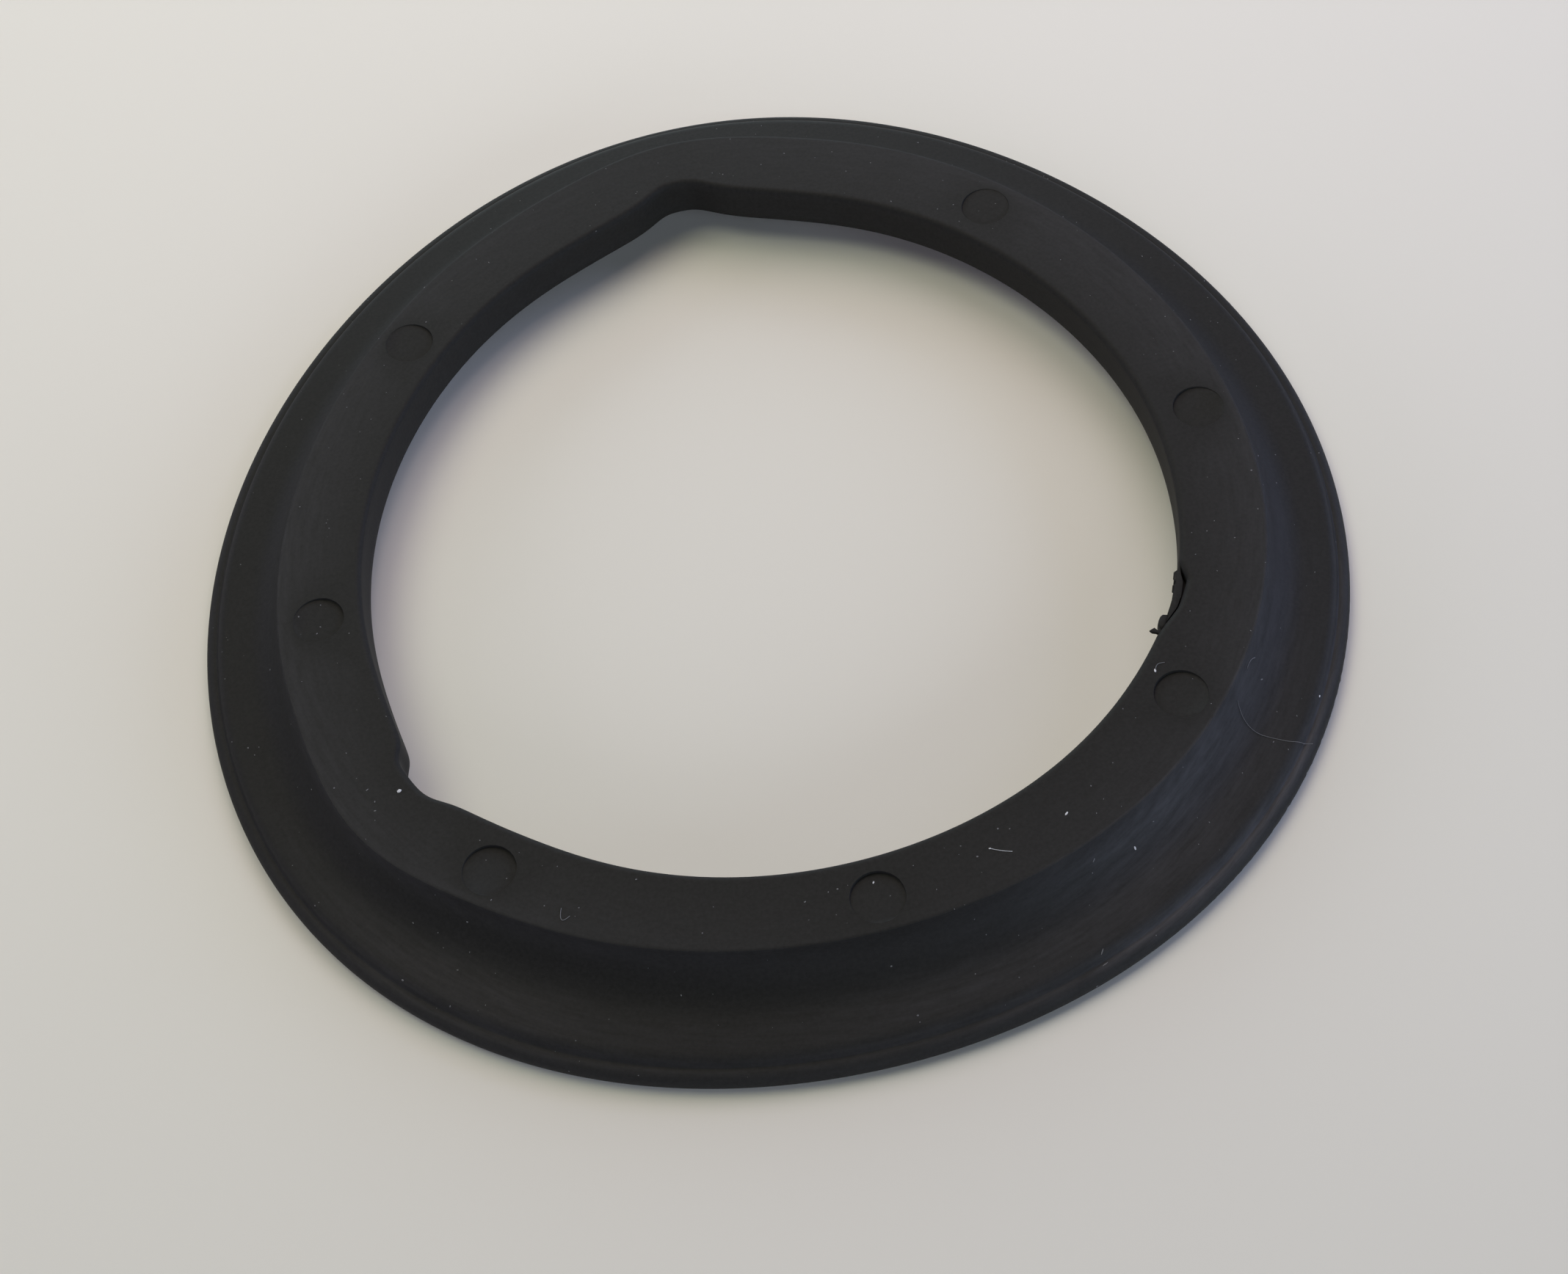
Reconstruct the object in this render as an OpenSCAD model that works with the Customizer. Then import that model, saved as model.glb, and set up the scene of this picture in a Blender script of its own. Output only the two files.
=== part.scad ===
// Lip seal: one moulded rubber ring that lies on the rim of its lip.
// The opening, the crease and the rim all follow one rounded three-cornered path,
// so the section is the same all the way round. Millimetres, +Z up, origin on the
// ring's axis in the plane that the rim rests on, first corner on +Y.

/* [Ring] */
// Mean diameter of the opening, halfway between its corners and its flatter sides
opening_d = 56.4; // [40:0.2:90]
// Radial width of the flat flange, from the opening to the crease
flange_w = 5.4; // [4.8:0.1:12]
// Radial width of the lip, from the crease to the rim
lip_w = 6.4; // [5.2:0.1:12]
// Height of the flange's top above the plane that the rim rests on
height = 5.3; // [4.6:0.1:7]
// Distance between the three points that the path's arcs are struck from: the
// corners stand out from the mean circle by about a thirteenth of it
pivot_gap = 9.05; // [2:0.05:14]

/* [Section] */
// Height of the flange's underside above the resting plane
underside_z = 2.2; // [1.4:0.1:2.4]
// Radius of the hollow between the crease and the lip
cove_r = 4.15; // [3.4:0.05:5]
// Slope of the hollow where it leaves the crease, in degrees
cove_top_slope = 78; // [70:1:86]
// Slope of the hollow where it runs out on the lip, in degrees
cove_foot_slope = 5; // [2:0.5:5]
// Slope of the lip's upper face, in degrees
lip_slope = 8; // [7:0.5:10]
// Thickness of the lip where the hollow runs out
lip_t = 1; // [0.6:0.05:1.1]
// Radius of the round bead along the rim
bead_r = 0.72; // [0.6:0.02:0.9]
// How far the bead's round is cut flat where it rests
bead_flat = 0.06; // [0.02:0.01:0.12]
// Radial run of the short fall from the lip's face to the bead
fall_w = 0.5; // [0.4:0.05:0.8]

/* [Notches] */
// Radius of the small notch at each whole corner of the opening
notch_r = 2.2; // [1.2:0.1:2.6]
// How far a notch cuts in past the corner
notch_depth = 1.25; // [0.8:0.05:2]
// Radius that rounds the shoulders of a notch
shoulder_r = 3.4; // [1:0.1:4]
// Width of the chip at the corner where the gate was torn off
chip_w = 4; // [2:0.1:6]
// How far the chip cuts in from the opening's edge
chip_in = 0.6; // [0.3:0.05:1]
// Depth of the chip below the flange's top
chip_depth = 0.9; // [0.3:0.1:2]

/* [Ejector marks] */
// Diameter of each round ejector mark in the flange's top
mark_d = 3.5; // [2:0.1:5]
// Depth of each mark
mark_depth = 0.3; // [0.1:0.05:0.5]
// Distance of the marks' centres from the opening's edge
mark_in = 2.8; // [2.4:0.1:4]

/* [Hidden] */
$fn = 144;
// How far a cutter runs past the face that it opens
overrun = 0.5;
// How far the rounds of a notch overlap, so that they meet in a clean edge
round_lap = 0.02;
// How far the lip's face runs on under the hollow's round, which cuts it back
face_lead = 0.2;

opening_r = opening_d / 2;
corner_angles = [90, 210, 330];
gate_angle = corner_angles[2];
// The mould had pins at every eighth of a turn, apart from the first corner.
mark_angles = [for (a = [0 : 45 : 315]) if (a != corner_angles[0]) a];

// The path is a three-cornered curve of constant width: each of three pivots
// carries the short arc round its own corner and the long arc on the far side.
arc_span = 180 / len(corner_angles);
pivot_r = pivot_gap / sqrt(3);
corner_arc_r = opening_r - pivot_gap / 2;
side_arc_r = opening_r + pivot_gap / 2;
lobe = corner_arc_r + pivot_r - opening_r;

// Section, in the plane of u, outwards from the opening's wall, and z.
bead_u = flange_w + lip_w - bead_r;
bead_z = bead_r - bead_flat;
cove_u = flange_w + cove_r * sin(cove_top_slope);
cove_z = height + cove_r * cos(cove_top_slope);
foot_u = cove_u - cove_r * sin(cove_foot_slope);
foot_z = cove_z - cove_r * cos(cove_foot_slope);
fall_u = bead_u - fall_w;
fall_z = foot_z - (fall_u - foot_u) * tan(lip_slope);

module section() {
    difference() {
        union() {
            difference() {
                polygon([
                    [0, underside_z],
                    [flange_w, underside_z],
                    [foot_u, foot_z - lip_t],
                    [bead_u, bead_z / 2],
                    [bead_u, bead_z + bead_r / 2],
                    [fall_u, fall_z],
                    [foot_u - face_lead, foot_z + face_lead * tan(lip_slope)],
                    [flange_w + face_lead, height],
                    [0, height]
                ]);
                translate([cove_u, cove_z]) circle(r = cove_r);
            }
            translate([bead_u, bead_z]) circle(r = bead_r);
        }
        translate([bead_u - bead_r, -bead_r]) square([2 * bead_r, bead_r]);
    }
}

// One arc of the ring: its pivot, the direction that it faces and its radius at the opening.
module arc_sector(pivot_angle, direction, radius) {
    translate([pivot_r * cos(pivot_angle), pivot_r * sin(pivot_angle), 0])
        rotate_extrude(angle = arc_span, start = direction - arc_span / 2)
            translate([radius, 0]) section();
}

module ring() {
    for (a = corner_angles) {
        arc_sector(a, a, corner_arc_r);
        arc_sector(a, a + 180, side_arc_r);
    }
}

// A notch and its rounded shoulders, through the flange at the corner on +X,
// measured from the pivot of that corner's arc.
notch_x = corner_arc_r + notch_depth - notch_r;
pivot_to_shoulder = corner_arc_r + shoulder_r - round_lap;
notch_to_shoulder = notch_r + shoulder_r - round_lap;
shoulder_x = (notch_x ^ 2 + pivot_to_shoulder ^ 2 - notch_to_shoulder ^ 2) / (2 * notch_x);
shoulder_y = sqrt(pivot_to_shoulder ^ 2 - shoulder_x ^ 2);

module notch(angle) {
    rotate([0, 0, angle]) translate([pivot_r, 0, -overrun])
        linear_extrude(height + 2 * overrun) {
            translate([notch_x, 0]) circle(r = notch_r);
            difference() {
                polygon([
                    [0, 0],
                    [shoulder_x, -shoulder_y],
                    [notch_x, 0],
                    [shoulder_x, shoulder_y]
                ]);
                translate([shoulder_x, -shoulder_y]) circle(r = shoulder_r);
                translate([shoulder_x, shoulder_y]) circle(r = shoulder_r);
            }
        }
}

// The chip left by the gate: a shallow round bite out of the top edge.
chip_r = (chip_w ^ 2 / 4 + chip_in ^ 2) / (2 * chip_in);

module gate_chip() {
    rotate([0, 0, gate_angle])
        translate([opening_r + lobe + chip_in - chip_r, 0, height - chip_depth])
            cylinder(r = chip_r, h = chip_depth + overrun);
}

module ejector_marks() {
    for (a = mark_angles) {
        edge_r = opening_r + lobe * cos(3 * (a - corner_angles[0]));
        rotate([0, 0, a]) translate([edge_r + mark_in, 0, height - mark_depth])
            cylinder(d = mark_d, h = mark_depth + overrun);
    }
}

module seal_ring() {
    color("#2b2c2e") difference() {
        ring();
        for (a = corner_angles)
            if (a != gate_angle) notch(a);
        gate_chip();
        ejector_marks();
    }
}

seal_ring();
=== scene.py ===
import math
import random
import bmesh
import bpy
from mathutils import Matrix, Vector, noise
from mathutils.bvhtree import BVHTree


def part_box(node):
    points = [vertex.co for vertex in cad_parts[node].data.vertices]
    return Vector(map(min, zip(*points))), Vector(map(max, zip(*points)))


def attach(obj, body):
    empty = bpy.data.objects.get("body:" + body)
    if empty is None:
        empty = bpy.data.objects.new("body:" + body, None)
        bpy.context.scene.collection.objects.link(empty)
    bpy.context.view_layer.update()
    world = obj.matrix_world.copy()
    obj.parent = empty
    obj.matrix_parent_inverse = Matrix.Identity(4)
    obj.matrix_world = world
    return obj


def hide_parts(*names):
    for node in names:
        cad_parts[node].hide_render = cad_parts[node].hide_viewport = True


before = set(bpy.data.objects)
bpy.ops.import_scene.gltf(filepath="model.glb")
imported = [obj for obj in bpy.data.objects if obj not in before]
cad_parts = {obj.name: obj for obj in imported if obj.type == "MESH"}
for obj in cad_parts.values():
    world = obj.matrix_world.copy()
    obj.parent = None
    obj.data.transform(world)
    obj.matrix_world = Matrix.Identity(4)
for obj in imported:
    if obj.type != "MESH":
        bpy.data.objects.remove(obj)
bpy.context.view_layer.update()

# Ring
# The seal is one moulding in black nitrile rubber: a flat flange round the
# opening, a thin lip that curves down and outwards, and a bead along its rim.
# Its section is drawn once, rounded at the corners and turned about the axis.
MM = 0.001
ring_low, ring_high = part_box("seal_ring")
top_z = ring_high.z
rim_r = (ring_high.x - ring_low.x) / 2
flange_w = 5.4 * MM
lip_w = 6.4 * MM
opening_r = rim_r - flange_w - lip_w
underside_z = 2.2 * MM
opening_round = 0.4 * MM
crease_round = 0.1 * MM
flat_start = 0.5 * MM
flat_end = flange_w - 0.2 * MM
cove_r = 3.3 * MM
cove_top_slope = math.radians(88)
cove_foot_slope = math.radians(5)
lip_slope = math.radians(5)
lip_t = 1.0 * MM
bead_r = 0.72 * MM
bead_flat = 0.06 * MM
fall_w = 0.5 * MM
fall_lands = math.radians(17)
fall_top_round = 0.4 * MM
fall_foot_round = 0.2 * MM
underside_round = 0.15 * MM
chip_depth = 0.9 * MM
chip_ledge = 0.03 * MM
turn_steps = 960
wedges = 16
merge_distance = 0.002 * MM


def point(u, z):
    """A place in the section: u is the distance outwards from the opening's wall."""
    return Vector((opening_r + u, 0, z))


def draw_straight(section, pen, end, steps=1):
    start = pen.co.copy()
    for step in range(steps):
        pen = bmesh.ops.extrude_vert_indiv(section, verts=[pen])["verts"][0]
        pen.co = start.lerp(end, (step + 1) / steps)
    return pen


def draw_arc(section, pen, centre, angle, steps):
    """Carries the section on round a centre, from +Z towards +X where the angle is positive."""
    turned = bmesh.ops.spin(section, geom=[pen], cent=centre, axis=(0, 1, 0), angle=angle, steps=steps)
    return turned["geom_last"][0]


def round_corner(section, corner, reach, segments):
    bmesh.ops.bevel(
        section, geom=[corner], affect="VERTICES", offset=reach, segments=segments, profile=0.5, material=-1
    )


cove_centre = point(flange_w + cove_r * math.sin(cove_top_slope), top_z + cove_r * math.cos(cove_top_slope))
bead_centre = point(flange_w + lip_w - bead_r, bead_r - bead_flat)
foot = cove_centre - cove_r * Vector((math.sin(cove_foot_slope), 0, math.cos(cove_foot_slope)))
fall_x = bead_centre.x - fall_w
fall_start = Vector((fall_x, 0, foot.z - (fall_x - foot.x) * math.tan(lip_slope)))
fall_end = bead_centre + bead_r * Vector((-math.sin(fall_lands), 0, math.cos(fall_lands)))
bead_bottom = math.pi - math.acos((bead_r - bead_flat) / bead_r)

ring = bmesh.new()
wall_foot = ring.verts.new(point(0, underside_z))
pen = draw_straight(ring, wall_foot, point(0, top_z - chip_depth - chip_ledge), 3)
pen = draw_straight(ring, pen, point(0, top_z - chip_depth))
opening_edge = draw_straight(ring, pen, point(0, top_z))
pen = draw_straight(ring, opening_edge, point(flat_start, top_z))
pen = draw_straight(ring, pen, point(flat_end, top_z))
crease = draw_straight(ring, pen, point(flange_w, top_z))
pen = draw_arc(ring, crease, cove_centre, cove_foot_slope - cove_top_slope, 22)
fall_top = draw_straight(ring, pen, fall_start, 4)
fall_foot = draw_straight(ring, fall_top, fall_end, 2)
pen = draw_arc(ring, fall_foot, bead_centre, fall_lands + bead_bottom, 18)
pen = draw_straight(ring, pen, Vector((2 * bead_centre.x - pen.co.x, 0, pen.co.z)))
pen = draw_straight(ring, pen, foot - Vector((0, 0, lip_t)), 3)
lip_root = draw_straight(ring, pen, point(flange_w, underside_z), 3)
ring.edges.new((lip_root, wall_foot))
for corner, reach, segments in (
    (opening_edge, opening_round, 6),
    (crease, crease_round, 2),
    (fall_top, fall_top_round, 4),
    (fall_foot, fall_foot_round, 3),
    (wall_foot, underside_round, 2),
    (lip_root, underside_round, 2),
):
    round_corner(ring, corner, reach, segments)
# One wedge is spun, then doubled until the turn is full.
bmesh.ops.spin(
    ring, geom=ring.verts[:] + ring.edges[:], cent=(0, 0, 0), axis=(0, 0, 1),
    angle=math.tau / wedges, steps=turn_steps // wedges,
)
for share in (wedges, wedges // 2, wedges // 4, wedges // 8):
    copied = bmesh.ops.duplicate(ring, geom=ring.verts[:] + ring.edges[:] + ring.faces[:])["geom"]
    verts = [item for item in copied if isinstance(item, bmesh.types.BMVert)]
    bmesh.ops.rotate(ring, verts=verts, cent=(0, 0, 0), matrix=Matrix.Rotation(math.tau / share, 3, "Z"))
bmesh.ops.remove_doubles(ring, verts=ring.verts[:], dist=merge_distance)
bmesh.ops.recalc_face_normals(ring, faces=ring.faces[:])
ring.normal_update()

# Outline
# The mould was slightly three-cornered, most of all round the two notches that
# locate the seal, and the soft ring lies a little out of round. Where it was
# flexed or rubbed, the rubber has a pale bloom. Paler paint also stands in for
# light: a painted lighter far side of the flange, painted highlights along the
# crease and the bead, and painted light on the near side of the lip.
notch_zone = 1.0 * MM
# Each wave: how many times it repeats in a turn, its height and its direction.
opening_waves = ((1, 0.29 * MM, 139), (2, 0.20 * MM, 88), (3, 0.46 * MM, 89))
crease_waves = ((1, 0.27 * MM, 118), (2, 0.07 * MM, 53), (3, 0.69 * MM, 85))
rim_waves = ((1, 0.40 * MM, 163), (2, 0.38 * MM, 74), (3, 0.69 * MM, 88), (5, 0.08 * MM, 12))
opening_drawn_in = 0.2 * MM
# The two notched corners stand further out: their directions, by how much, and
# how many degrees to each side.
corners = (210.3, 90)
corner_swell = 0.9 * MM
corner_reach = 12
# Each notch: its direction, its depth, and its reach and steepness on the two sides.
notches = (
    (207.7, 0.9 * MM, (1.97 * MM, 6.5), (2.85 * MM, 4.8)),
    (90, 1.4 * MM, (2.6 * MM, 3), (2.2 * MM, 3)),
)
# The torn gate's back: its directions and how far it is bitten out at each.
gate_back = ((322.9, 0), (325.1, 0.2 * MM), (328, 0.6 * MM), (332.4, 0.7 * MM), (334.8, 0))
gate_pull = 0.2 * MM
gate_pull_at = 333
gate_pull_reach = 11
rim_rough = 0.05 * MM
rim_rough_at = 318
rim_rough_reach = 17
rim_rough_rate = 1.9
# The strengths of the bloom and of the painted light and highlights, as shares of their full colour, and
# where each part lies.
# Painted light: how much paler the flange is painted on its far side, and how far past the crease that
# fades.
far_flange_light = 0.03
far_flange_light_reach = 0.4 * MM
# A faint pale line of wear along the crease, with a painted highlight added that is strongest on the left
# and right sides.
crease_wear_and_highlight = 0.03
crease_highlight_sideways = 0.19
crease_spread = 0.5 * MM
bead_crest = flange_w + lip_w - bead_r
# Painted highlight on the bead's crest, on the near side; the scuffed stretch of the bead has real bloom.
bead_highlight_near = 0.10
bead_bloom_scuffed = 0.65
bead_spread = 0.4 * MM
scuff_bloom = 0.66
scuff_angle = 305
scuff_reach = 17
scuff_run_out = 31
scuff_at_crease = 0.4
scuff_start = 0.5 * MM
scuff_fade = 3.6 * MM
# Where paler paint stands in for light on the near side of the lip and in its hollow: each direction, how
# much, and how far round it goes.
near_lip_light_places = ((226, 0.13, 22), (278, 0.08, 22))
near_lip_light_start = 1.8 * MM
# Painted light in the lip's hollow on the near side.
hollow_middle = 3.2 * MM
hollow_painted_light = 0.14


def swell(waves, angle):
    return sum(size * math.cos(turns * math.radians(angle - to)) for turns, size, to in waves)


def blend(low, high, share):
    share = min(max(share, 0), 1)
    return low + (high - low) * share


def nearest_turn(angle, centre):
    return (angle - centre + 180) % 360 - 180


def bell(away, reach):
    """1 in the middle, and next to nothing at twice the reach."""
    return math.exp(-((away / reach) ** 2))


def corner_depth(angle):
    return sum(corner_swell * bell(nearest_turn(angle, corner), corner_reach) for corner in corners)


def notch_depth(angle):
    depth = 0
    for centre, full, before, after in notches:
        away = math.radians(nearest_turn(angle, centre)) * opening_r
        reach, steepness = before if away < 0 else after
        depth += full / (1 + (abs(away) / reach) ** steepness)
    return depth


def gate_depth(angle):
    for (before, depth_before), (after, depth_after) in zip(gate_back, gate_back[1:]):
        if before <= angle % 360 < after:
            return blend(depth_before, depth_after, (angle % 360 - before) / (after - before))
    return 0


def bloom_and_painted_light_amount(u, angle):
    """How pale the rubber is painted: bloom, most where it was flexed and rubbed, and painted light on the
    far flange, along the crease and bead, and on the near lip.
    """
    past_crease = u - flange_w
    near_side = 0.5 - 0.5 * math.sin(math.radians(angle))
    sideways = abs(math.cos(math.radians(angle)))
    # Painted light: the flange is painted paler towards the far side, where light grazes it, fading out just
    # past the crease.
    painted_far_light = far_flange_light * (1 - near_side) * blend(1, 0, past_crease / far_flange_light_reach)
    # Faint wear all round the crease plus a painted highlight, strongest on the left and right sides.
    crease_wear_and_highlight_line = (crease_wear_and_highlight + crease_highlight_sideways * sideways) * bell(past_crease, crease_spread)
    past_scuff = nearest_turn(angle, scuff_angle)
    scuff = bell(past_scuff, scuff_reach if past_scuff < 0 else scuff_run_out)
    scuffed_lip = 0
    if past_crease >= -crease_round:
        scuffed_lip = scuff_bloom * scuff * math.exp(-max(past_crease, 0) / scuff_fade)
        scuffed_lip *= blend(scuff_at_crease, 1, past_crease / scuff_start)
    # A painted highlight on the near bead's crest, plus real bloom where the bead is scuffed.
    bead_highlight_and_scuff = (bead_highlight_near * near_side + bead_bloom_scuffed * scuff) * bell(u - bead_crest, bead_spread)
    # Painted light: the near side of the lip and its hollow are painted paler.
    hollow_light = hollow_painted_light * bell(past_crease - hollow_middle, near_lip_light_start)
    near_lip_light = 0
    for to, size, reach in near_lip_light_places:
        on_lip = blend(0, size, (past_crease - near_lip_light_start) / near_lip_light_start)
        near_lip_light += (on_lip + hollow_light) * bell(nearest_turn(angle, to), reach)
    return painted_far_light + crease_wear_and_highlight_line + scuffed_lip + bead_highlight_and_scuff + near_lip_light


# The flange's flat band is found before it is bent, because the marks cut it.
level_tolerance = 0.001 * MM
band_half = 1.0 * MM
flat_middle = opening_r + (flat_start + flat_end) / 2
flat_band = [
    face for face in ring.faces
    if abs(face.calc_center_median().z - top_z) < level_tolerance
    and abs(face.calc_center_median().xy.length - flat_middle) < band_half
]
# This layer holds the real bloom together with painted light and painted highlights.
bloom_and_painted_light = ring.verts.layers.float.new("bloom_and_painted_light")
for vert in ring.verts:
    angle = math.degrees(math.atan2(vert.co.y, vert.co.x))
    u = vert.co.xy.length - opening_r
    vert[bloom_and_painted_light] = bloom_and_painted_light_amount(u, angle) if vert.normal.z > 0 else 0
    at_crease = swell(crease_waves, angle) + corner_depth(angle)
    if u < flange_w:
        at_opening = swell(opening_waves, angle) + corner_depth(angle) - opening_drawn_in
        at_opening += gate_pull * bell(nearest_turn(angle, gate_pull_at), gate_pull_reach)
        moved = blend(at_opening, at_crease, u / flange_w)
    else:
        moved = blend(at_crease, swell(rim_waves, angle), (u - flange_w) / lip_w)
    if u < notch_zone:
        moved += notch_depth(angle)
        if vert.co.z > top_z - chip_depth - chip_ledge / 2:
            moved += gate_depth(angle)
    if u > bead_crest:
        fade = bell(nearest_turn(angle, rim_rough_at), rim_rough_reach)
        moved += rim_rough * fade * noise.noise(Vector((angle * rim_rough_rate, 0, 0)))
    vert.co.xy *= (opening_r + u + moved) / (opening_r + u)

# Ejector marks
# The mould's pins left seven round marks sunk in the flange, one at each eighth
# of a turn except where the deeper notch is. Each mark's flat floor is deep on
# the side of the axis and runs out on the other.
mark_r = 1.75 * MM
mark_depth = 0.24 * MM
mark_shallow = 0.01 * MM
mark_lip = 0.01 * MM
mark_draft = 0.02 * MM
mark_sides = 80
# Each mark: its direction and its distance from the axis.
marks = (
    (359.6, 30.8 * MM),
    (45.2, 30.9 * MM),
    (135, 30.8 * MM),
    (180.8, 31.1 * MM),
    (224.4, 31.7 * MM),
    (270.8, 30.4 * MM),
    (316.1, 31.3 * MM),
)
bmesh.ops.delete(ring, geom=flat_band, context="FACES")
borders = [edge for edge in ring.edges if edge.is_boundary]
rims = []
for direction, distance in marks:
    centre = Matrix.Rotation(math.radians(direction), 3, "Z") @ Vector((distance, 0, top_z))
    centred = Matrix.Translation(centre)
    outline = bmesh.ops.create_circle(ring, radius=mark_r, segments=mark_sides, matrix=centred)
    edges = list({edge for vert in outline["verts"] for edge in vert.link_edges})
    rims.append((centre, edges))
    borders += edges
bmesh.ops.triangle_fill(ring, use_beauty=True, use_dissolve=False, edges=borders, normal=(0, 0, 1))
for centre, edges in rims:
    for inset, share in ((mark_lip, 0), (mark_draft, 1)):
        grown = bmesh.ops.extrude_edge_only(ring, edges=edges)["geom"]
        verts = [item for item in grown if isinstance(item, bmesh.types.BMVert)]
        edges = [item for item in grown if isinstance(item, bmesh.types.BMEdge)]
        for vert in verts:
            outwards = (vert.co - centre).xy
            vert.co.xy -= outwards.normalized() * inset
            inner_side = 0.5 - 0.5 * outwards.dot(centre.xy.normalized()) / mark_r
            vert.co.z = top_z - mark_lip - share * blend(mark_shallow, mark_depth - mark_lip, inner_side)
    bmesh.ops.contextual_create(ring, geom=edges)
bmesh.ops.recalc_face_normals(ring, faces=ring.faces[:])

# Rubber
# Black nitrile rubber from a fine-blasted mould: matte, with a faint grain and
# a thin streaky haze of pale bloom, mixed with painted light and painted highlights.
rubber_dark = "#212121"
rubber_light = "#272727"
# The pale colour serves both the bloom and the painted light and highlights.
bloom_and_light_colour = "#4a4a4f"
grain_size = 0.25 * MM
grain_height = 0.03 * MM
streak_length = 4.0 * MM
streak_width = 0.45 * MM
sharp_angle = math.radians(40)


def linear(code):
    """An sRGB hex colour as linear RGBA."""
    parts = [int(code[i:i + 2], 16) / 255 for i in (1, 3, 5)]
    return (*[c / 12.92 if c <= 0.04045 else ((c + 0.055) / 1.055) ** 2.4 for c in parts], 1)


def add_node(material, kind, settings=None, links=None):
    """Adds a node; settings go to its properties or inputs, links come from other nodes' outputs."""
    node = material.node_tree.nodes.new(kind)
    for name, value in (settings or {}).items():
        if isinstance(name, int) or name in node.inputs:
            node.inputs[name].default_value = value
        else:
            setattr(node, name, value)
    for name, source in (links or {}).items():
        material.node_tree.links.new(source, node.inputs[name])
    return node


rubber = bpy.data.materials.new("moulded_nitrile_rubber")
rubber.use_nodes = True
rubber.node_tree.nodes.clear()
place = add_node(rubber, "ShaderNodeTexCoord").outputs["Object"]
grain = add_node(
    rubber, "ShaderNodeTexNoise", {"Scale": 1 / grain_size, "Detail": 2.0, "Roughness": 0.6},
    {"Vector": place},
)
axes = add_node(rubber, "ShaderNodeSeparateXYZ", {}, {"Vector": place}).outputs
turn = add_node(rubber, "ShaderNodeMath", {"operation": "ARCTAN2"}, {0: axes["Y"], 1: axes["X"]})
level = add_node(rubber, "ShaderNodeCombineXYZ", {}, {"X": axes["X"], "Y": axes["Y"]})
reach = add_node(rubber, "ShaderNodeVectorMath", {"operation": "LENGTH"}, {0: level.outputs["Vector"]})
along = add_node(
    rubber, "ShaderNodeMath", {"operation": "MULTIPLY", 1: rim_r / streak_length}, {0: turn.outputs["Value"]}
)
across = add_node(
    rubber, "ShaderNodeMath", {"operation": "MULTIPLY", 1: 1 / streak_width}, {0: reach.outputs["Value"]}
)
rubbed = add_node(
    rubber, "ShaderNodeCombineXYZ", {}, {"X": along.outputs["Value"], "Y": across.outputs["Value"]}
)
streaks = add_node(
    rubber, "ShaderNodeTexNoise", {"Scale": 1.0, "Detail": 4.0, "Roughness": 0.7},
    {"Vector": rubbed.outputs["Vector"]},
)
speckle = add_node(
    rubber, "ShaderNodeMapRange", {"From Min": 0.3, "From Max": 0.7}, {"Value": grain.outputs["Fac"]}
)
black = add_node(
    rubber, "ShaderNodeMixRGB", {"Color1": linear(rubber_dark), "Color2": linear(rubber_light)},
    {"Fac": speckle.outputs["Result"]},
)
# Reads the bloom and the painted light and highlights from the mesh.
bloom_and_light_map = add_node(rubber, "ShaderNodeAttribute", {"attribute_name": "bloom_and_painted_light"})
patchy = add_node(
    rubber, "ShaderNodeMapRange", {"From Min": 0.3, "From Max": 0.7, "To Min": 0.5, "To Max": 1.5},
    {"Value": streaks.outputs["Fac"]},
)
haze_and_painted_light = add_node(
    rubber, "ShaderNodeMath", {"operation": "MULTIPLY"},
    {0: bloom_and_light_map.outputs["Fac"], 1: patchy.outputs["Result"]},
)
colour = add_node(
    rubber, "ShaderNodeMixRGB", {"Color2": linear(bloom_and_light_colour)},
    {"Fac": haze_and_painted_light.outputs["Value"], "Color1": black.outputs["Color"]},
)
bump = add_node(
    rubber, "ShaderNodeBump", {"Strength": 0.15, "Distance": grain_height}, {"Height": grain.outputs["Fac"]}
)
skin = add_node(
    rubber, "ShaderNodeBsdfPrincipled", {"Roughness": 0.6, "Specular IOR Level": 0.1},
    {"Base Color": colour.outputs["Color"], "Normal": bump.outputs["Normal"]},
)
add_node(rubber, "ShaderNodeOutputMaterial", {}, {"Surface": skin.outputs["BSDF"]})


def finish_piece(shape, name, material, body="root"):
    """Turns a bmesh into a piece that rides on a body."""
    mesh = bpy.data.meshes.new(name)
    for face in shape.faces:
        face.smooth = True
    for edge in shape.edges:
        edge.smooth = edge.calc_face_angle(0) < sharp_angle
    shape.to_mesh(mesh)
    shape.free()
    piece = bpy.data.objects.new(name, mesh)
    bpy.context.scene.collection.objects.link(piece)
    mesh.materials.append(material)
    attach(piece, body)
    return piece


seal = finish_piece(ring, "moulded_ring", rubber)
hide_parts("seal_ring")

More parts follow.
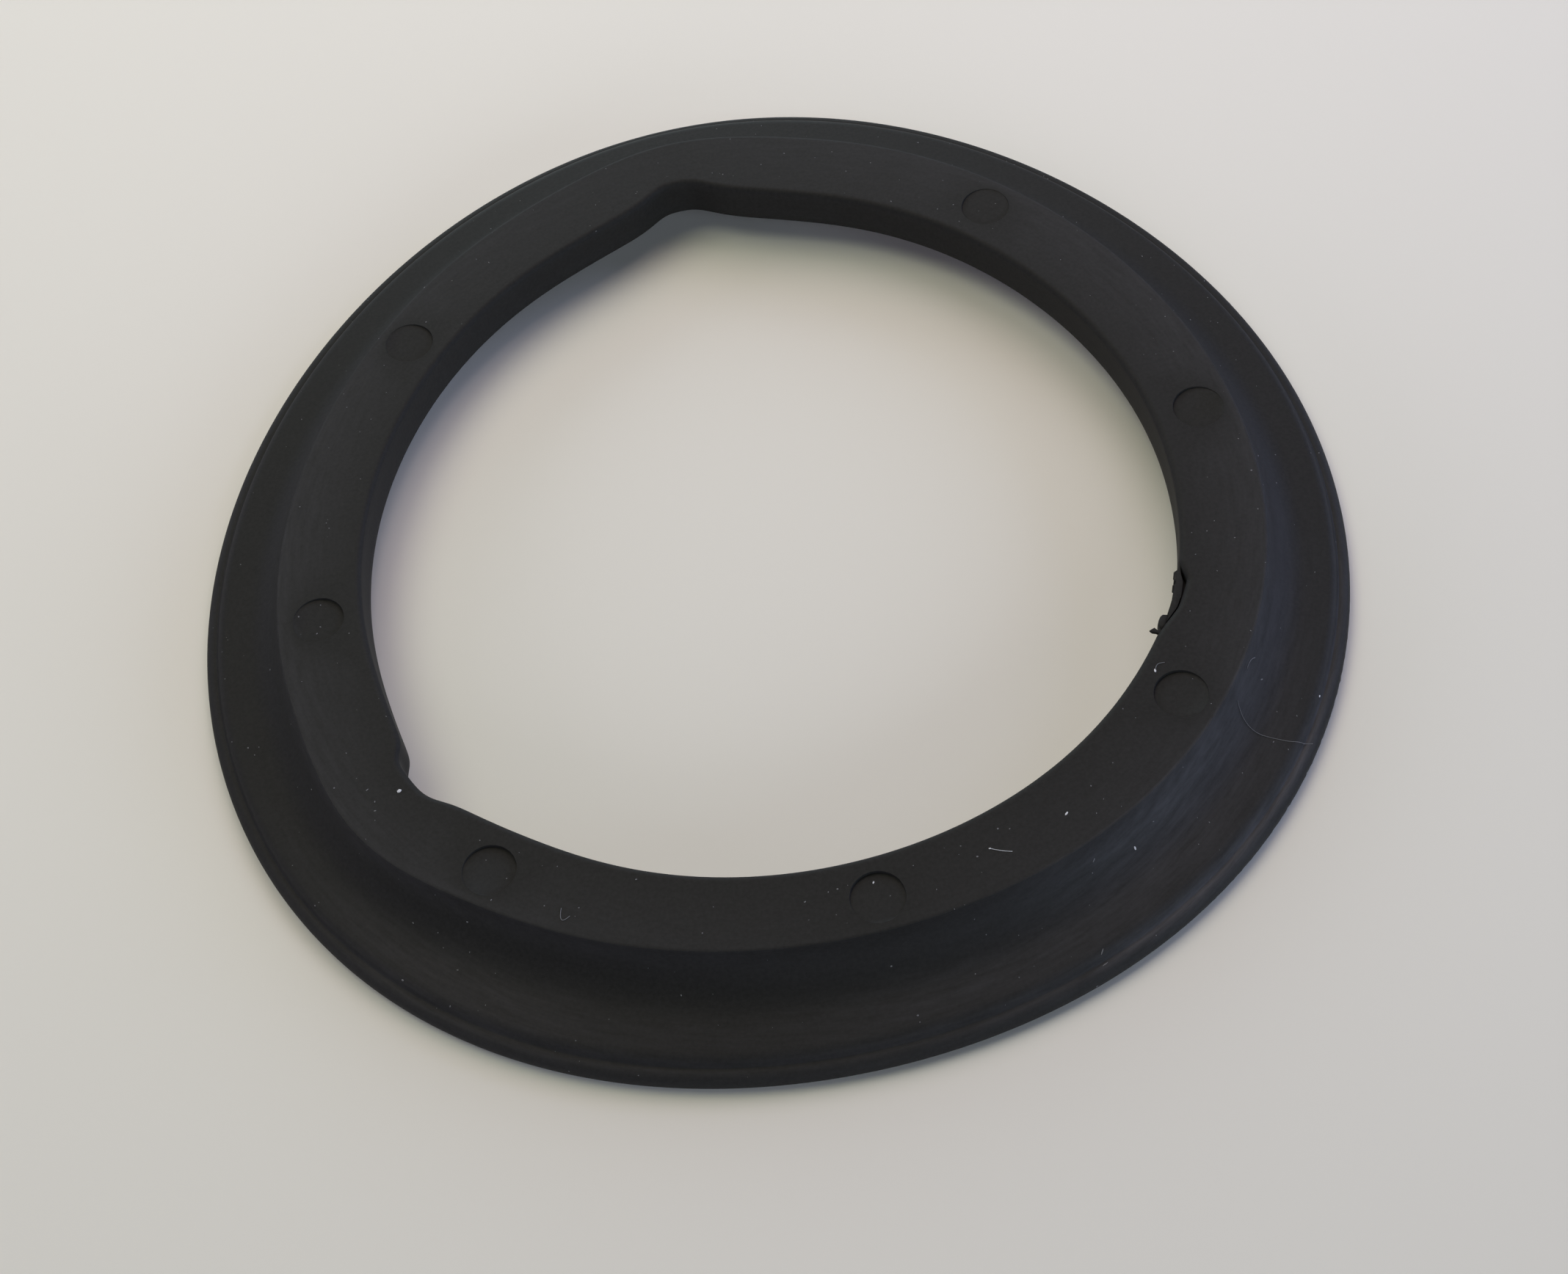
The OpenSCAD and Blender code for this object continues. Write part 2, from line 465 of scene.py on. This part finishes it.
# Torn gate
# The moulding was torn from its feed here and ragged rubber stands in the chip:
# a low tab with three burrs along its edge, a round lump and a leaf on a stalk.
# Each scrap: its bottom, its top, how soft its edge is, and its outline as
# directions in degrees and distances from the axis in millimetres.
scraps = (
    (4.2 * MM, 5.05 * MM, 0.02 * MM, (
        (334.65, 28.35), (333.8, 28.25), (333.25, 28.02), (332.8, 28.2), (332.3, 28.22), (332.05, 28.12),
        (331.9, 28.27), (331.4, 28.28), (331.15, 28.12), (331.0, 28.25), (329.5, 28.28), (328.2, 28.35),
        (327.1, 28.4), (325.4, 28.42), (328.0, 28.78), (329.8, 28.84), (332.0, 28.74), (333.4, 28.48),
    )),
    (4.35 * MM, 5.0 * MM, 0.18 * MM, (
        (326.8, 28.45), (326.5, 28.0), (326.1, 27.9), (325.5, 27.88), (324.8, 27.92), (324.4, 28.08),
        (324.0, 28.3), (324.9, 28.5),
    )),
    (4.85 * MM, 5.05 * MM, 0.04 * MM, (
        (323.75, 28.4), (323.85, 27.98), (324.0, 27.82), (323.75, 27.73), (323.35, 27.59), (323.2, 27.8),
        (323.3, 28.05), (323.15, 28.4),
    )),
)
burrs = bmesh.new()
for low, high, softness, outline in scraps:
    corners = [
        burrs.verts.new(Matrix.Rotation(math.radians(direction), 3, "Z") @ Vector((distance * MM, 0, low)))
        for direction, distance in outline
    ]
    under = burrs.faces.new(corners)
    grown = bmesh.ops.extrude_face_region(burrs, geom=[under])["geom"]
    raised = [item for item in grown if isinstance(item, bmesh.types.BMVert)]
    bmesh.ops.translate(burrs, verts=raised, vec=(0, 0, high - low))
    edges = [item for item in grown if isinstance(item, bmesh.types.BMEdge)]
    bmesh.ops.bevel(
        burrs, geom=edges, affect="EDGES", offset=softness, segments=3, profile=0.5, material=-1,
        clamp_overlap=True,
    )
bmesh.ops.recalc_face_normals(burrs, faces=burrs.faces[:])
torn = finish_piece(burrs, "gate_burrs", rubber)

# Dust
# Lint and grit from the bench cling to the rubber: pale specks, a few short
# fibres and hairs. They are loose and have no finish of the ring's own. Cotton
# lint is matte and nearly white, settled dust a dull grey, and both are mottled.
lint_dark = "#b8bac1"
lint_light = "#dadce3"
dust_dark = "#5b5c61"
dust_light = "#797a7f"
fibre_grain = 0.08 * MM
# Each speck, bright or grey: its direction in degrees, then its distance from
# the axis, its length and its width in millimetres, and its turn in degrees.
lint_specks = (
    (208.7, 31.3, 0.36, 0.26, 20),
    (270.8, 29.3, 0.22, 0.12, 60),
    (317.6, 29.1, 0.30, 0.16, 80),
    (285.2, 30.1, 0.16, 0.10, 0),
    (295.1, 30.9, 0.34, 0.14, 40),
    (299.2, 34.65, 0.30, 0.15, 80),
    (325.0, 38.95, 0.20, 0.15, 0),
)
dust_specks = (
    (206.0, 32.8, 0.25, 0.08, 30), (208.8, 33.3, 0.20, 0.09, 0), (203.4, 34.4, 0.14, 0.12, 0),
    (176.3, 34.0, 0.60, 0.16, 85), (179.6, 32.4, 0.14, 0.12, 0), (190.6, 38.2, 0.15, 0.12, 0),
    (221.8, 39.7, 0.20, 0.14, 0), (224.6, 34.8, 0.16, 0.12, 0), (241.4, 28.8, 0.15, 0.10, 0),
    (266.4, 29.3, 0.14, 0.12, 0), (271.6, 37.2, 0.16, 0.12, 0), (270.4, 34.0, 0.14, 0.12, 0),
    (267.0, 40.2, 0.40, 0.22, 10), (283.4, 30.2, 0.16, 0.12, 0), (287.4, 29.2, 0.14, 0.12, 0),
    (288.0, 39.6, 0.20, 0.12, 0), (294.6, 33.8, 0.35, 0.10, 40), (289.9, 38.3, 0.50, 0.08, 40),
    (300.0, 40.4, 0.24, 0.12, 0), (289.6, 38.9, 0.50, 0.07, 5), (353.3, 34.2, 0.16, 0.12, 0),
    (348.9, 33.1, 0.16, 0.12, 0), (323.9, 35.2, 0.24, 0.10, 140), (126.7, 33.4, 0.18, 0.14, 0),
    (234.0, 41.0, 0.22, 0.12, 0), (235.6, 41.1, 0.28, 0.14, 0), (237.2, 41.0, 0.20, 0.12, 0),
    (238.4, 41.1, 0.16, 0.12, 0), (222.4, 41.2, 0.24, 0.12, 0), (223.8, 41.3, 0.18, 0.12, 0),
    (244.6, 41.4, 0.20, 0.12, 0),
)
# Each fibre: its thickness in millimetres, then the places it passes, each a
# direction and a distance from the axis.
lint_fibres = ((0.035, ((285.2, 30.1), (286.1, 30.6), (287.2, 31.0))),)
dust_fibres = (
    (0.045, ((234.3, 32.0), (234.6, 32.6), (235.2, 32.8), (235.6, 32.3))),
    (0.045, ((317.7, 29.1), (318.3, 29.0), (318.8, 29.1), (319.2, 29.4))),
    (0.05, ((325.3, 34.4), (324.45, 34.15), (323.3, 34.2))),
    (0.035, (
        (319.6, 34.4), (318.9, 34.8), (318.3, 35.5), (318.1, 36.3), (318.4, 37.2), (318.8, 38.2),
        (319.1, 38.6), (319.4, 38.9), (319.7, 39.2), (320.1, 39.6),
    )),
)
# The finest grit lies at random: how many, the widths between which it lies in
# millimetres, and the distances from the axis.
grit_count = 320
grit_widths = (0.03, 0.09)
grit_distances = (28.6, 40.6)
speck_height = 0.6
surface = BVHTree.FromPolygons(
    [vert.co for vert in seal.data.vertices], [face.vertices for face in seal.data.polygons]
)


def dust_material(name, dark, light):
    material = bpy.data.materials.new(name)
    material.use_nodes = True
    material.node_tree.nodes.clear()
    place = add_node(material, "ShaderNodeTexCoord").outputs["Object"]
    mottled = add_node(material, "ShaderNodeTexNoise", {"Scale": 1 / fibre_grain}, {"Vector": place})
    colour = add_node(
        material, "ShaderNodeMixRGB", {"Color1": linear(dark), "Color2": linear(light)},
        {"Fac": mottled.outputs["Fac"]},
    )
    skin = add_node(
        material, "ShaderNodeBsdfPrincipled", {"Roughness": 0.9}, {"Base Color": colour.outputs["Color"]}
    )
    add_node(material, "ShaderNodeOutputMaterial", {}, {"Surface": skin.outputs["BSDF"]})
    return material


def on_surface(direction, distance):
    """The place and the way up of the ring's upper side."""
    above = Matrix.Rotation(math.radians(direction), 3, "Z") @ Vector((distance * MM, 0, 2 * top_z))
    place, up = surface.ray_cast(above, Vector((0, 0, -1)))[:2]
    return place, up


def add_speck(shape, direction, distance, length, width, turn):
    place, up = on_surface(direction, distance)
    if place is None:
        return
    upright = Matrix.Translation(place) @ up.to_track_quat("Z", "Y").to_matrix().to_4x4()
    turned = upright @ Matrix.Rotation(math.radians(turn), 4, "Z")
    stretched = turned @ Matrix.Diagonal((length, width, speck_height * width, 1))
    bmesh.ops.create_icosphere(shape, subdivisions=1, radius=0.5 * MM, matrix=stretched)


def add_fibres(shape, fibres):
    for thickness, path in fibres:
        thread = bpy.data.curves.new("thread", "CURVE")
        thread.dimensions = "3D"
        thread.bevel_depth = thickness / 2 * MM
        thread.bevel_resolution = 1
        thread.use_fill_caps = True
        spline = thread.splines.new("NURBS")
        spline.points.add(len(path) - 1)
        spline.order_u = 3
        spline.use_endpoint_u = True
        for knot, (direction, distance) in zip(spline.points, path):
            place, up = on_surface(direction, distance)
            knot.co = (*(place + up * thickness / 2 * MM), 1)
        shape.from_mesh(bpy.data.objects.new("thread", thread).to_mesh())


random.seed(7)
lint = bmesh.new()
for speck in lint_specks:
    add_speck(lint, *speck)
add_fibres(lint, lint_fibres)
dust = bmesh.new()
for speck in dust_specks:
    add_speck(dust, *speck)
for _ in range(grit_count):
    width = random.uniform(*grit_widths)
    direction = random.uniform(0, 360)
    distance = random.uniform(*grit_distances)
    length = width * random.uniform(1, 2)
    turn = random.uniform(0, 180)
    add_speck(dust, direction, distance, length, width, turn)
add_fibres(dust, dust_fibres)
finish_piece(lint, "pale_lint", dust_material("cotton_lint", lint_dark, lint_light))
finish_piece(dust, "bench_dust", dust_material("settled_dust", dust_dark, dust_light))

# Floor
# A sheet of pale, slightly warm matte card, much larger than the ring. It is
# only a stage to stand the ring on.
floor_half = 3.0
card_colour = "#e4e2dd"
card = bpy.data.materials.new("matte_card")
card.use_nodes = True
card.node_tree.nodes["Principled BSDF"].inputs["Base Color"].default_value = linear(card_colour)
card.node_tree.nodes["Principled BSDF"].inputs["Roughness"].default_value = 0.9
sheet = bmesh.new()
bmesh.ops.create_grid(sheet, x_segments=1, y_segments=1, size=floor_half)
bmesh.ops.translate(sheet, verts=sheet.verts[:], vec=(0, 0, ring_low.z))
floor_mesh = bpy.data.meshes.new("floor")
sheet.to_mesh(floor_mesh)
sheet.free()
floor_mesh.materials.append(card)
floor = bpy.data.objects.new("floor", floor_mesh)
bpy.context.scene.collection.objects.link(floor)

# Light
# A bluish window low on the right, warm lamps above and behind and the room's
# weaker light from every side, all broad and soft, so that shadows are faint.
lamp_width = 0.3
# Each lamp: its direction and height in degrees, its distance and its power in
# red, green and blue.
lamps = (
    ("window_right", 15, 15, 0.45, (0.52, 0.59, 0.92)),
    ("window_front", 315, 15, 0.70, (0.78, 1.02, 1.14)),
    ("front_wall", 270, 15, 0.70, (1.05, 1.03, 1.18)),
    ("left_wall", 180, 15, 0.70, (0.57, 0.56, 0.70)),
    ("back_left", 135, 15, 0.45, (0.29, 0.29, 0.38)),
    ("back_wall", 90, 15, 0.45, (0.56, 0.71, 0.75)),
    ("overhead_right", 60, 50, 0.33, (0.36, 0.31, 0.35)),
    ("overhead_back", 90, 62, 0.30, (0.17, 0.14, 0.08)),
    ("overhead_left", 150, 62, 0.45, (0.49, 0.51, 0.39)),
)
for name, azimuth, elevation, distance, power in lamps:
    data = bpy.data.lights.new(name, "AREA")
    data.shape = "DISK"
    data.size = lamp_width
    data.energy = max(power)
    data.color = [channel / max(power) for channel in power]
    lamp = bpy.data.objects.new(name, data)
    lamp.matrix_world = (
        Matrix.Rotation(math.radians(azimuth + 90), 4, "Z")
        @ Matrix.Rotation(math.radians(90 - elevation), 4, "X")
        @ Matrix.Translation((0, 0, distance))
    )
    bpy.context.scene.collection.objects.link(lamp)
bpy.context.scene.view_settings.view_transform = "Standard"

# Camera
# It looks down on the ring from the front, turned slightly, at close range, so
# the far side of the ring looks smaller than the near side.
camera_azimuth = math.radians(-4.7)
camera_elevation = math.radians(57.69)
camera_roll = math.radians(-9.63)
camera_distance = 155.1 * MM
aim = Vector((-0.68 * MM, -7.19 * MM, 0))
camera_data = bpy.data.cameras.new("camera")
camera_data.lens = 51.88
camera_data.sensor_width = 36
camera_data.clip_start = 0.01
camera = bpy.data.objects.new("camera", camera_data)
turned = (
    Matrix.Rotation(camera_azimuth, 4, "Z")
    @ Matrix.Rotation(math.pi / 2 - camera_elevation, 4, "X")
    @ Matrix.Rotation(camera_roll, 4, "Z")
)
camera.matrix_world = Matrix.Translation(aim) @ turned @ Matrix.Translation((0, 0, camera_distance))
bpy.context.scene.collection.objects.link(camera)
bpy.context.scene.camera = camera
